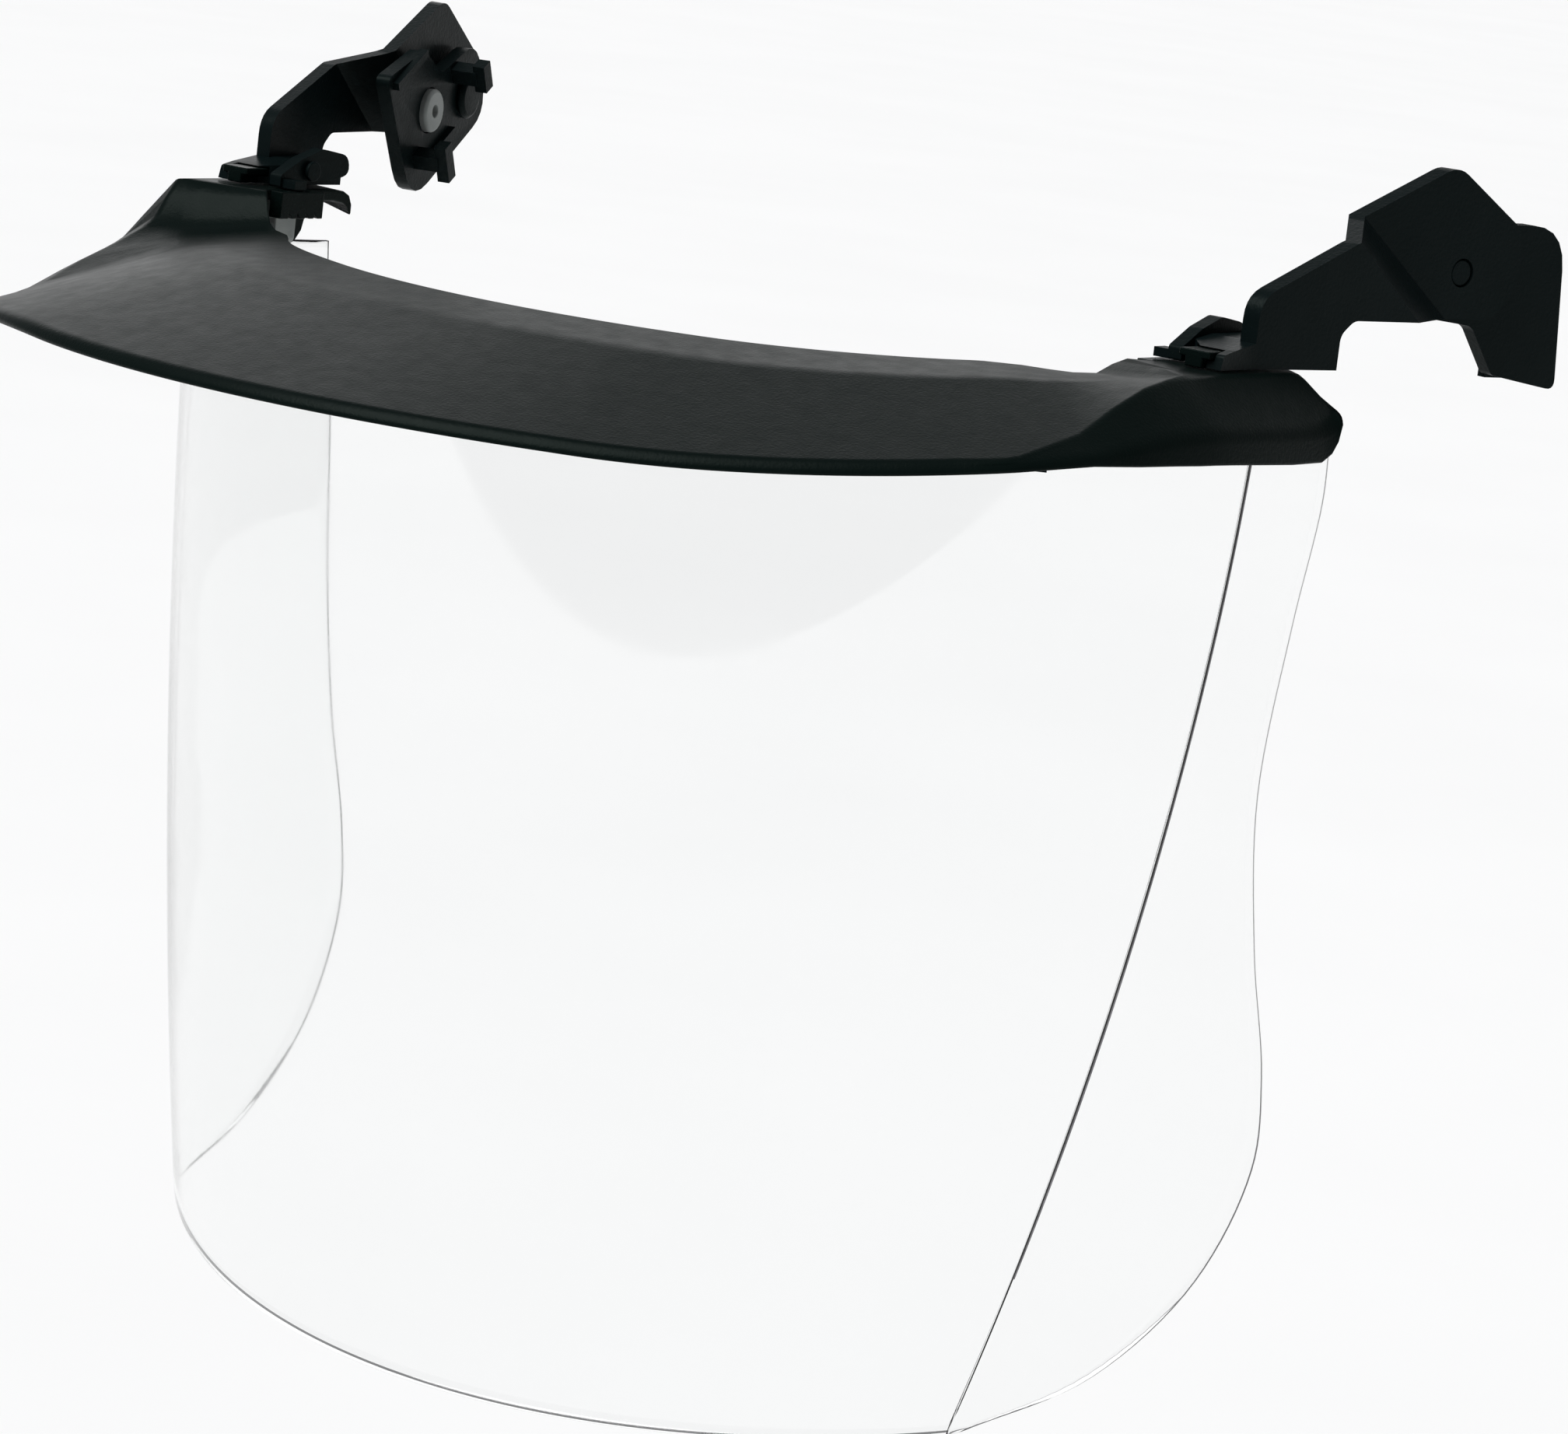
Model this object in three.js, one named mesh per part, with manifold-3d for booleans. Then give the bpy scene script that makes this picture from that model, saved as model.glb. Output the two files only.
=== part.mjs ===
// Helmet-mounted face shield: a black brow guard carries a bent clear sheet and slides on two
// arms, and each arm ends in a pivoting bracket that hooks into the side of a helmet.
// Millimetres. +Z is up, the wearer looks along -Y, and +X is the wearer's left.
// The origin is midway between the two bracket pivots.

import * as THREE from 'three';
import { mergeVertices } from 'three/addons/utils/BufferGeometryUtils.js';
import Module from 'manifold-3d';

const wasm = await Module();
wasm.setup();

const { sin, cos, tan, hypot, asin, PI } = Math;
const rad = THREE.MathUtils.degToRad;
const lerp = THREE.MathUtils.lerp;

// ---- driving dimensions ----

const GAP = 0.3;

// brow guard: plan arcs, measured from the middle of the front
const RIM = { radius: 153.5, front: -190, half: 121.6 };
const INNER = { radius: 108, front: -127, half: 82.7 };
const CREASE_SHARE = { middle: 0.24, side: 0.34 };
const PEAK_Z = { inner: -22.5, crease: -24.4, rim: -36, lip: -38.5 };
const SHELL = 2.4;
const RIB_CLEARANCE = 1.1;
const DECK_Z = -17.8;
const PANEL_BOTTOM = -32.6;
const PANEL_WALL = 1.6;
const SIDE_X = { inner: 106, ridge: 122.6, outer: 131.4 };

// visor sheet
const SHEET = 1.0;
const SHEET_TOP = -30.5;
const FRONT_Y = { top: -130.9, bottom: -120 };
const CORNER = { x: 97, y: -79, z: -217 };
const MIDDLE_DROP = 8.5;
const CREASE_TOP = { x: 127.5, y: -67 };
const CREASE_BOW = 22;

// rails, racks and the feet that slide on them
const RAIL = { x: 114.8, front: -70.5, rear: -44, neck: 3.6, head: 6.4, neckTop: -15.8, top: -14.4 };
const FOOT = { front: -69.4, rear: -44.5, inner: 109.6, outer: 120, bottom: -17.4, top: -12.6 };
const RACK = { inner: 102.4, outer: 105.6, front: -69.5, rear: -57, top: -17.9, bottom: -23.2 };
const TOOTH = { pitch: 2.5, depth: 1.1 };

// arms and brackets
const PLATE = 3.4;
const PIVOT_X = 124;
const SPLAY = rad(16);
const LOWER_SPLAY = rad(12);
const BEND = { start: -18.2, end: -8.7, y: 0.63, z: 0.777 };
const PIN = { radius: 2.4, head: 4.6 };
const BRACKET = { outer: -3, thickness: 3, bore: 2.8 };
const FOLDED = rad(-152);

// ---- solids ----

function toSolid(geometry) {
  const bare = geometry.clone();
  bare.deleteAttribute('normal');
  bare.deleteAttribute('uv');
  const merged = mergeVertices(bare, 1e-4);
  return new wasm.Manifold(new wasm.Mesh({
    numProp: 3,
    vertProperties: new Float32Array(merged.attributes.position.array),
    triVerts: new Uint32Array(merged.index.array),
  }));
}

function toGeometry(solid) {
  const mesh = solid.getMesh();
  return fromTriangles(mesh.vertProperties, mesh.triVerts);
}

function fromTriangles(positions, indices) {
  const geometry = new THREE.BufferGeometry();
  geometry.setAttribute('position', new THREE.BufferAttribute(new Float32Array(positions), 3));
  geometry.setIndex([...indices]);
  geometry.computeVertexNormals();
  return geometry;
}

const join = (...parts) => toGeometry(parts.map(toSolid).reduce((a, b) => a.add(b)));
const cut = (body, ...tools) => toGeometry(tools.map(toSolid).reduce((a, b) => a.subtract(b), toSolid(body)));

// the same piece on the wearer's other side
function mirrored(geometry) {
  const copy = geometry.clone().applyMatrix4(new THREE.Matrix4().makeScale(-1, 1, 1));
  const index = copy.index ? [...copy.index.array] : [...Array(copy.attributes.position.count).keys()];
  for (let i = 0; i < index.length; i += 3) [index[i], index[i + 1]] = [index[i + 1], index[i]];
  copy.setIndex(index);
  copy.computeVertexNormals();
  return copy;
}

// joins equal closed outlines, one after another, into a closed body
function loft(sections) {
  const n = sections[0].length;
  const positions = sections.flat(2);
  const indices = [];
  for (let s = 0; s + 1 < sections.length; s++) {
    for (let i = 0; i < n; i++) {
      const a = s * n + i;
      const b = s * n + (i + 1) % n;
      indices.push(a, b, a + n, b, b + n, a + n);
    }
  }
  capEnd(sections[0], 0, false);
  capEnd(sections.at(-1), (sections.length - 1) * n, true);
  return fromTriangles(positions, indices);

  // an end face is flat, so it is triangulated in the two directions that span it
  function capEnd(section, base, last) {
    const origin = new THREE.Vector3(...section[0]);
    const across = new THREE.Vector3(section[3][0] - section[0][0], section[3][1] - section[0][1], 0).normalize();
    const flat = section.map(([x, y, z]) => new THREE.Vector2(
      new THREE.Vector3(x, y, z).sub(origin).dot(across), z));
    for (const [a, b, c] of THREE.ShapeUtils.triangulateShape(flat, [])) {
      indices.push(...(last ? [base + a, base + c, base + b] : [base + a, base + b, base + c]));
    }
  }
}

// an outline from corners [x, y, radius]
function roundedShape(corners) {
  const shape = new THREE.Shape();
  corners.forEach(([x, y, radius = 0], i) => {
    const here = new THREE.Vector2(x, y);
    const before = new THREE.Vector2(...corners.at(i - 1).slice(0, 2)).sub(here);
    const after = new THREE.Vector2(...corners[(i + 1) % corners.length].slice(0, 2)).sub(here);
    const half = Math.acos(before.clone().normalize().dot(after.clone().normalize())) / 2;
    const reach = Math.min(radius / tan(half), 0.49 * before.length(), 0.49 * after.length());
    const from = here.clone().addScaledVector(before.normalize(), reach);
    const to = here.clone().addScaledVector(after.normalize(), reach);
    if (i === 0) shape.moveTo(from.x, from.y);
    else shape.lineTo(from.x, from.y);
    if (radius > 0) shape.quadraticCurveTo(x, y, to.x, to.y);
  });
  shape.closePath();
  return shape;
}

const extrude = (shape, depth, segments = 4) =>
  new THREE.ExtrudeGeometry(shape, { depth, bevelEnabled: false, curveSegments: segments });

// a plate whose outline is given in Y and Z, from x to x + thickness
function sidePlate(corners, x, thickness) {
  const toSide = new THREE.Matrix4().makeBasis(
    new THREE.Vector3(0, 1, 0), new THREE.Vector3(0, 0, 1), new THREE.Vector3(1, 0, 0));
  return extrude(roundedShape(corners), thickness).applyMatrix4(toSide).translate(x, 0, 0);
}

// a bar whose outline is given in X and Z, from y to y + length
function sideBar(corners, y, length) {
  const toBar = new THREE.Matrix4().makeBasis(
    new THREE.Vector3(-1, 0, 0), new THREE.Vector3(0, 0, 1), new THREE.Vector3(0, 1, 0));
  const flipped = corners.map(([x, z, r]) => [-x, z, r]);
  return extrude(roundedShape(flipped), length).applyMatrix4(toBar).translate(0, y, 0);
}

const box = (x0, x1, y0, y1, z0, z1) => new THREE.BoxGeometry(x1 - x0, y1 - y0, z1 - z0)
  .translate((x0 + x1) / 2, (y0 + y1) / 2, (z0 + z1) / 2);

// a round bar along X
const rodX = (radius, x0, x1, y, z, sides = 20) => new THREE.CylinderGeometry(radius, radius, x1 - x0, sides)
  .rotateZ(-PI / 2).translate((x0 + x1) / 2, y, z);

// ---- the sheet's surface, which the brow guard's rib follows ----

// half width, depth of the crease and depth of the middle, at a share of the sheet's height
const creaseX = (v) => CREASE_TOP.x - (CREASE_TOP.x - CORNER.x - CREASE_BOW) * v - CREASE_BOW * v * v;
const creaseY = (v) => lerp(CREASE_TOP.y, CORNER.y, v ** 1.5);
const frontY = (v) => lerp(FRONT_Y.top, FRONT_Y.bottom, v);

function frontArc(v) {
  const rise = creaseY(v) - frontY(v);
  const radius = (creaseX(v) ** 2 + rise ** 2) / (2 * rise);
  return { radius, centre: frontY(v) + radius, end: asin(creaseX(v) / radius) };
}

// the front panel: u runs from 0 in the middle to 1 at the crease
function frontPoint(u, v) {
  const arc = frontArc(v);
  const bottom = CORNER.z - MIDDLE_DROP * (1 - u * u);
  return [arc.radius * sin(u * arc.end), arc.centre - arc.radius * cos(u * arc.end), lerp(SHEET_TOP, bottom, v)];
}

// the wing's free edge, from the top to the bottom corner
const wingEdge = new THREE.CatmullRomCurve3([
  [122, -33, SHEET_TOP], [121.6, -32, -42], [118.3, -31.5, -66], [115.3, -30.8, -98],
  [115.4, -25, -128], [116, -17.5, -153], [115.6, -16, -171], [112.6, -26, -192],
  [106.8, -48, -208.5], [CORNER.x + 1.2, CORNER.y + 2.6, CORNER.z + 0.4],
].map((p) => new THREE.Vector3(...p)), false, 'centripetal');

// the wing: w runs from 0 at the crease to 1 at the free edge
function wingPoint(w, v) {
  const crease = new THREE.Vector3(...frontPoint(1, v));
  return crease.lerp(wingEdge.getPoint(v), w).toArray();
}

// how far a plan point lies outside the sheet's top edge
function outsideSheet(x, y) {
  const arc = frontArc(0);
  if (y < CREASE_TOP.y) return hypot(x, y - arc.centre) - arc.radius;
  return x - lerp(CREASE_TOP.x, 122, (y - CREASE_TOP.y) / (-33 - CREASE_TOP.y));
}

function visorSheet() {
  const frontSteps = 12;
  const wingSteps = 4;
  const rows = 16;
  const surface = (column, v) => {
    const side = column < 0 ? -1 : 1;
    const step = Math.abs(column);
    const point = step <= frontSteps ? frontPoint(step / frontSteps, v) : wingPoint((step - frontSteps) / wingSteps, v);
    return new THREE.Vector3(side * point[0], point[1], point[2]);
  };
  const reach = frontSteps + wingSteps;
  const columns = 2 * reach + 1;
  const grid = [];
  for (let row = 0; row <= rows; row++) {
    for (let column = -reach; column <= reach; column++) grid.push(surface(column, row / rows));
  }
  // the inner face lies one thickness towards the wearer, square to the sheet's plan
  const inner = grid.map((point, i) => {
    const column = i % columns;
    const a = grid[i - (column > 0 ? 1 : 0)];
    const b = grid[i + (column < columns - 1 ? 1 : 0)];
    const along = new THREE.Vector2(b.x - a.x, b.y - a.y).normalize();
    return new THREE.Vector3(point.x - along.y * SHEET, point.y + along.x * SHEET, point.z);
  });
  const positions = [...grid, ...inner].flatMap((p) => p.toArray());
  const count = grid.length;
  const indices = [];
  const quad = (a, b, c, d) => indices.push(a, b, c, a, c, d);
  for (let row = 0; row < rows; row++) {
    for (let column = 0; column + 1 < columns; column++) {
      const a = row * columns + column;
      quad(a, a + columns, a + columns + 1, a + 1);
      quad(a + count, a + count + 1, a + count + columns + 1, a + count + columns);
    }
    const left = row * columns;
    const right = left + columns - 1;
    quad(left, left + count, left + count + columns, left + columns);
    quad(right, right + columns, right + count + columns, right + count);
  }
  for (let column = 0; column + 1 < columns; column++) {
    const bottom = rows * columns + column;
    quad(column, column + 1, column + 1 + count, column + count);
    quad(bottom, bottom + count, bottom + count + 1, bottom + 1);
  }
  return cut(fromTriangles(positions, indices), ...RIVET_ANGLES.map((angle) => rivetHole(angle)));
}

// ---- brow guard ----

// stations down one side, behind the front tip; each lists plan points on the inner edge, the
// ridge and the outer edge, then the heights of the inner edge, the ridge and the bottom, then
// how far the guard is sprung out of true at the top and at the bottom
const SIDE_STATIONS = [
  { inner: [87.5, -83.5], ridge: [122, -114], outer: [127.2, -116], z: [-22.6, -32.6, -37.2], flex: 5.6, lowFlex: 5.6 },
  { inner: [91.5, -80.5], ridge: [121.8, -104], outer: [129.4, -105], z: [-22.8, -28.2, -36.2], flex: 5.5, lowFlex: 4.5 },
  { inner: [95, -78.5], ridge: [121.6, -95], outer: [130.6, -96], z: [-22.8, -25, -35.2], flex: 5.4, lowFlex: 3.5 },
  { inner: [98.6, -76.4], ridge: [121.6, -88], outer: [131.3, -89], z: [-22.2, -22.8, -34.4], flex: 4.6, lowFlex: 2.6 },
  { inner: [100.8, -75], ridge: [121.8, -84], outer: [131.6, -85], z: [-20, -21.4, -33.8], flex: 3.6, lowFlex: 2 },
  { inner: [102.8, -73.6], ridge: [122, -79], outer: [131.8, -80], z: [DECK_Z, DECK_Z, -33.3], lowFlex: 1.4 },
  { inner: [SIDE_X.inner, -70], ridge: [122.4, -71], outer: [131.8, -71], z: [DECK_Z, DECK_Z, -33], lowFlex: 0.8 },
  { inner: [SIDE_X.inner, -60], ridge: [SIDE_X.ridge, -60], outer: [131.6, -60], z: [DECK_Z, DECK_Z, PANEL_BOTTOM] },
  ...[[-50, 0, 0], [-47, 0.4, 1.4], [-45.4, 1.2, 3.4], [-44.6, 2.8, 6.4]].map(([y, drop, lift]) => ({
    inner: [SIDE_X.inner, y], ridge: [SIDE_X.ridge, y], outer: [SIDE_X.outer, y],
    z: [DECK_Z - drop, DECK_Z - drop, PANEL_BOTTOM + lift],
  })),
];

function browStations() {
  const arcPoint = ({ radius, front, half }, share) => {
    const angle = share * asin(half / radius);
    return [radius * sin(angle), front + radius * (1 - cos(angle))];
  };
  const steps = 12;
  const front = Array.from({ length: steps + 1 }, (_, i) => {
    const share = i / steps;
    const outer = arcPoint(RIM, share);
    return {
      inner: arcPoint(INNER, share),
      ridge: outer.map((value) => value * (1 - 1 / RIM.radius)),
      outer,
      crease: lerp(CREASE_SHARE.middle, CREASE_SHARE.side, share),
      z: [PEAK_Z.inner, PEAK_Z.rim, PEAK_Z.lip],
      creaseZ: PEAK_Z.crease,
      flex: 5.5 * Math.max(0, (share - 0.5) / 0.5) ** 1.6,
    };
  });
  const side = SIDE_STATIONS.map((station, i) => ({
    ...station,
    crease: lerp(CREASE_SHARE.side, 0.8, Math.min(1, (i + 1) / 6)),
    creaseZ: i < 5 ? PEAK_Z.crease + [0, 0.3, 0.7, 1.7, 4.2][i] : DECK_Z,
  }));
  const right = [...front, ...side].map((station) => {
    const flex = station.flex ?? 0;
    return { lowFlex: flex, ...station, flex, side: 1 };
  });
  const flip = ([x, y]) => [-x, y];
  const left = right.slice(1).reverse().map((s) => ({
    ...s, side: -1, inner: flip(s.inner), ridge: flip(s.ridge), outer: flip(s.outer),
  }));
  return [...left, ...right];
}

// a shell with a rounded rim, a lip or side panel hanging from it, and a rib inside the sheet
function browSection(station) {
  const { inner, ridge, outer, crease, creaseZ, z: [innerZ, ridgeZ, bottomZ], flex, lowFlex, side } = station;
  const width = hypot(ridge[0] - inner[0], ridge[1] - inner[1]);
  const at = (r) => [lerp(inner[0], ridge[0], r / width), lerp(inner[1], ridge[1], r / width)];
  const creaseR = crease * width;
  const topAt = (r) => (r < creaseR
    ? lerp(innerZ, creaseZ, r / creaseR)
    : lerp(creaseZ, ridgeZ, (r - creaseR) / (width - creaseR)));
  const sheetR = distanceToSheet(at, width);
  const ribOuter = Math.min(sheetR - SHEET - RIB_CLEARANCE, width - 2.6);
  const ribInner = ribOuter - 2;
  const ribBottom = bottomZ + 1.2;
  const wall = lerp(2.2, PANEL_WALL, Math.min(1, hypot(outer[0] - ridge[0], outer[1] - ridge[1]) / 8));
  const back = 1 - wall / hypot(outer[0] - inner[0], outer[1] - inner[1]);
  const wallBottom = [lerp(inner[0], outer[0], back), lerp(inner[1], outer[1], back)];
  const underRim = Math.max(ridgeZ - SHELL, bottomZ + 0.3);
  const section = [
    [...at(0), innerZ], [...at(creaseR), creaseZ], [...at(width), ridgeZ],
    [lerp(ridge[0], outer[0], 0.92), lerp(ridge[1], outer[1], 0.92), lerp(ridgeZ, bottomZ, 0.6)],
    [...outer, bottomZ], [...wallBottom, bottomZ],
    [...at(width - 2), underRim],
    [...at(ribOuter), topAt(ribOuter) - SHELL], [...at(ribOuter), ribBottom],
    [...at(ribInner), ribBottom], [...at(ribInner), topAt(ribInner) - SHELL], [...at(0), innerZ - SHELL],
  ];
  const sprung = (x, y, height) => {
    const depth = THREE.MathUtils.clamp((ridgeZ - height) / (ridgeZ - bottomZ), 0, 1);
    const reach = Math.min(1, hypot(x - inner[0], y - inner[1]) / width);
    return side * lerp(flex, lowFlex, depth) * lerp(0.25, 1, reach);
  };
  return section.map(([x, y, height]) => [x, y, height + sprung(x, y, height)]);
}

// how far out along a section the sheet's top edge stands
function distanceToSheet(at, width) {
  let [low, high] = [0, width];
  for (let i = 0; i < 30; i++) {
    const middle = (low + high) / 2;
    const [x, y] = at(middle);
    if (outsideSheet(Math.abs(x), y) > 0) high = middle;
    else low = middle;
  }
  return low;
}

function browGuard() {
  const shell = loft(browStations().map(browSection));
  return cut(shell, ...RIVET_ANGLES.map((angle) => rivetHole(angle)));
}

// ---- the strip and rivets that clamp the sheet's top edge ----

const RIVET_ANGLES = [-32, -16, 0, 16, 32].map(rad);
const RIVET_Z = -34.2;
const STRIP = { low: -37.4, high: -31.2, thickness: 1.6, half: rad(40) };

// a bar along the sheet's radius at an angle from the middle
function radialRod(radius, angle, near, far) {
  const arc = frontArc(0);
  const length = far - near;
  return new THREE.CylinderGeometry(radius, radius, length, 16)
    .translate(0, -(near + length / 2), 0)
    .rotateZ(angle)
    .translate(0, arc.centre, RIVET_Z);
}

function rivetHole(angle) {
  const { radius } = frontArc(0);
  return radialRod(1.8, angle, radius - 6, radius + 4);
}

function sheetRetainer() {
  const arc = frontArc(0);
  const inside = arc.radius + 0.4;
  const outside = inside + STRIP.thickness;
  const shape = new THREE.Shape();
  shape.absarc(0, 0, outside, -PI / 2 - STRIP.half, -PI / 2 + STRIP.half, false);
  shape.absarc(0, 0, inside, -PI / 2 + STRIP.half, -PI / 2 - STRIP.half, true);
  shape.closePath();
  const strip = extrude(shape, STRIP.high - STRIP.low, 24).translate(0, arc.centre, STRIP.low);
  return cut(strip, ...RIVET_ANGLES.map((angle) => rivetHole(angle)));
}

// shank through rib, sheet and strip, with a head on each side
function retainerRivet(angle) {
  const { radius } = frontArc(0);
  const outer = radius + 0.4 + STRIP.thickness + GAP;
  const inner = radius - SHEET - RIB_CLEARANCE - 2 - GAP;
  return join(
    radialRod(1.5, angle, inner - 0.5, outer + 0.5),
    radialRod(2.8, angle, outer, outer + 0.9),
    radialRod(2.8, angle, inner - 0.9, inner));
}

// ---- rails, racks and wing clips on the side decks ----

function rail() {
  const { x, neck, head, neckTop, top } = RAIL;
  const base = DECK_Z + GAP;
  return sideBar([
    [x - neck / 2, base], [x - neck / 2, neckTop], [x - head / 2, neckTop], [x - head / 2, top],
    [x + head / 2, top], [x + head / 2, neckTop], [x + neck / 2, neckTop], [x + neck / 2, base],
  ], RAIL.front, RAIL.rear - RAIL.front);
}

function rack() {
  const { front, rear, top, bottom } = RACK;
  const teeth = Math.floor((rear - front) / TOOTH.pitch);
  const outline = [[rear, top], [front, top], [front, bottom]];
  for (let i = 1; i < teeth; i++) {
    const y = front + i * TOOTH.pitch;
    outline.push([y, bottom], [y, bottom + TOOTH.depth], [y + 0.45 * TOOTH.pitch, bottom]);
  }
  outline.push([rear, bottom]);
  return sidePlate(outline.reverse(), RACK.inner, RACK.outer - RACK.inner);
}

// a grey clip that hangs under the deck and reaches out to the wing
function wingClip() {
  const top = DECK_Z - SHELL - GAP;
  return sideBar([
    [106.6, top, 0], [106.6, -28.8, 1.5], [117.3, -28.8, 0], [117.3, -27, 0], [108.6, -27, 1], [108.6, top, 0],
  ], -66, 6);
}

// ---- arms ----

// the arm's side outline, with its origin at the bracket pivot
const ARM_OUTLINE = [
  [-58.8, FOOT.bottom, 0], [-58.8, -4.8, 6], [-36.6, 5.4, 5], [-26.6, 8.8, 6], [-4.4, 19.6, 5],
  [12.5, 8.6, 3], [13.6, -1, 6], [8.5, -8.6, 6], [-35, -8.4, 3], [-38, -11, 3], [-38, FOOT.bottom, 0],
];

// middle of the arm's plate: the lower part, and the upper part set in and splayed out
const lowerX = (y) => 118 + tan(LOWER_SPLAY) * (y + 60);
const upperX = (y) => PIVOT_X + tan(SPLAY) * y;

function armX(y, z) {
  const across = BEND.y * y + BEND.z * z;
  const share = THREE.MathUtils.clamp((across - BEND.start) / (BEND.end - BEND.start), 0, 1);
  return lerp(lowerX(y), upperX(y), share);
}

// keeps the part of an outline on one side of a bend line
function clip(outline, value, above) {
  const side = ([y, z]) => (BEND.y * y + BEND.z * z - value) * (above ? 1 : -1);
  return outline.flatMap((point, i) => {
    const next = outline[(i + 1) % outline.length];
    const [a, b] = [side(point), side(next)];
    const kept = a >= 0 ? [point] : [];
    if (a * b < 0) kept.push([lerp(point[0], next[0], a / (a - b)), lerp(point[1], next[1], a / (a - b))]);
    return kept;
  });
}

function armPlate() {
  const outline = roundedShape(ARM_OUTLINE).extractPoints(5).shape.map((p) => [p.x, p.y]);
  if (THREE.ShapeUtils.area(outline.map(([x, y]) => new THREE.Vector2(x, y))) < 0) outline.reverse();
  const zones = [
    clip(outline, BEND.start, false),
    clip(clip(outline, BEND.start, true), BEND.end, false),
    clip(outline, BEND.end, true),
  ];
  const points = [];
  const known = new Map();
  const indexOf = ([y, z]) => {
    const key = `${y.toFixed(4)},${z.toFixed(4)}`;
    if (!known.has(key)) known.set(key, points.push([y, z]) - 1);
    return known.get(key);
  };
  const faces = [];
  const edges = new Set();
  for (const zone of zones) {
    const ids = zone.map(indexOf).filter((id, i, all) => id !== all.at(i - 1));
    ids.forEach((id, i) => edges.add(`${id},${ids[(i + 1) % ids.length]}`));
    const flat = ids.map((id) => new THREE.Vector2(...points[id]));
    for (const face of THREE.ShapeUtils.triangulateShape(flat, [])) faces.push(face.map((i) => ids[i]));
  }
  const positions = [PLATE / 2, -PLATE / 2].flatMap((offset) => points.flatMap(([y, z]) => [armX(y, z) + offset, y, z]));
  const n = points.length;
  const indices = faces.flatMap(([a, b, c]) => [a, b, c, a + n, c + n, b + n]);
  for (const edge of edges) {
    const [a, b] = edge.split(',').map(Number);
    if (!edges.has(`${b},${a}`)) indices.push(a, a + n, b + n, a, b + n, b);
  }
  return fromTriangles(positions, indices);
}

// the block that stands astride the rail, with its front inner corner cut away
function foot() {
  const { front, rear, inner, outer, bottom, top } = FOOT;
  const body = sidePlate([
    [front, bottom, 0], [front + 0.6, bottom + 2.6, 1], [front + 4, top - 1.4, 2], [front + 12, top, 3],
    [rear, top, 1], [rear, bottom, 0],
  ].reverse(), inner, outer - inner);
  const corner = new THREE.BoxGeometry(12, 12, 20).rotateZ(PI / 4).translate(inner - 2.6, front + 1, bottom);
  return cut(body, corner);
}

// the T-shaped channel that slides over the rail
function railChannel() {
  const { front, rear, bottom } = FOOT;
  const { x, neck, head, neckTop, top } = RAIL;
  const neckSlot = box(x - neck / 2 - GAP, x + neck / 2 + GAP, front - 1, rear + 9, bottom - 1, neckTop);
  const headSlot = box(x - head / 2 - GAP, x + head / 2 + GAP, front - 1, rear + 9, neckTop - GAP, top + GAP);
  return [neckSlot, headSlot];
}

// local frame of the upper plate: along it, up, and out of it, with the origin on the pivot
const PIVOT_FRAME = new THREE.Matrix4().makeBasis(
  new THREE.Vector3(sin(SPLAY), cos(SPLAY), 0), new THREE.Vector3(0, 0, 1),
  new THREE.Vector3(cos(SPLAY), -sin(SPLAY), 0)).setPosition(PIVOT_X, 0, 0);

// a round bar on the pivot axis, between two heights over the plate's middle
const pivotRod = (radius, low, high, sides = 28) => new THREE.CylinderGeometry(radius, radius, high - low, sides)
  .rotateX(PI / 2).translate(0, 0, (low + high) / 2);

function arm() {
  const bore = pivotRod(PIN.radius + GAP, -9, 9).applyMatrix4(PIVOT_FRAME);
  const leverBore = rodX(LEVER.pin + GAP, FOOT.inner - 1, FOOT.inner + 2, LEVER.y, LEVER.z);
  return cut(join(armPlate(), foot()), bore, leverBore, ...railChannel());
}

// ---- release lever: pressing the tab's rear end lifts the pawl at its front off the rack ----

const LEVER = { x0: 106.4, x1: 109.3, y: -57.5, z: -14.2, pin: 1.1 };

function releaseLever() {
  const tab = sidePlate([
    [-66, -17.5, 0.5], [-61.4, -17.5, 0.5], [-60.4, -16.4, 1], [-50, -16, 2], [-45.6, -14.8, 2.5],
    [-46.4, -11, 3], [-54, -9.8, 3], [-60, -11.8, 2], [-66, -15, 1],
  ], LEVER.x0, LEVER.x1 - LEVER.x0);
  const pawl = sidePlate([
    [-65.4, -17.5], [-62, -17.5], [-62, -15.8], [-65.4, -15.8],
  ], RACK.inner + 0.6, LEVER.x0 + 0.5 - RACK.inner - 0.6);
  const bore = rodX(LEVER.pin + GAP, LEVER.x0 - 1, LEVER.x1 + 1, LEVER.y, LEVER.z);
  return cut(join(tab, pawl), bore);
}

function leverPin() {
  return join(
    rodX(LEVER.pin, LEVER.x0 - 0.6, FOOT.inner + 1.3, LEVER.y, LEVER.z),
    rodX(LEVER.pin + 0.9, LEVER.x0 - 1.2, LEVER.x0 - GAP, LEVER.y, LEVER.z));
}

// ---- pivot and helmet bracket ----

// a turned pin: flush outside the arm, headed inside the bracket
function pivotPin() {
  const head = BRACKET.outer - BRACKET.thickness - GAP;
  const profile = [
    [0, 1.4], [PIN.radius, 1.4], [PIN.radius, head], [PIN.head, head], [PIN.head, head - 0.7],
    [PIN.head - 0.8, head - 1.4], [0, head - 1.4],
  ].reverse().map(([r, h]) => new THREE.Vector2(r, h));
  return new THREE.LatheGeometry(profile, 28).rotateX(PI / 2).applyMatrix4(PIVOT_FRAME);
}

function pivotWasher() {
  const low = BRACKET.outer + GAP;
  const high = -PLATE / 2 - GAP;
  const profile = [[2.8, low], [7, low], [7, high], [2.8, high], [2.8, low]].map(([r, h]) => new THREE.Vector2(r, h));
  return new THREE.LatheGeometry(profile, 28).rotateX(PI / 2).applyMatrix4(PIVOT_FRAME);
}

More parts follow.
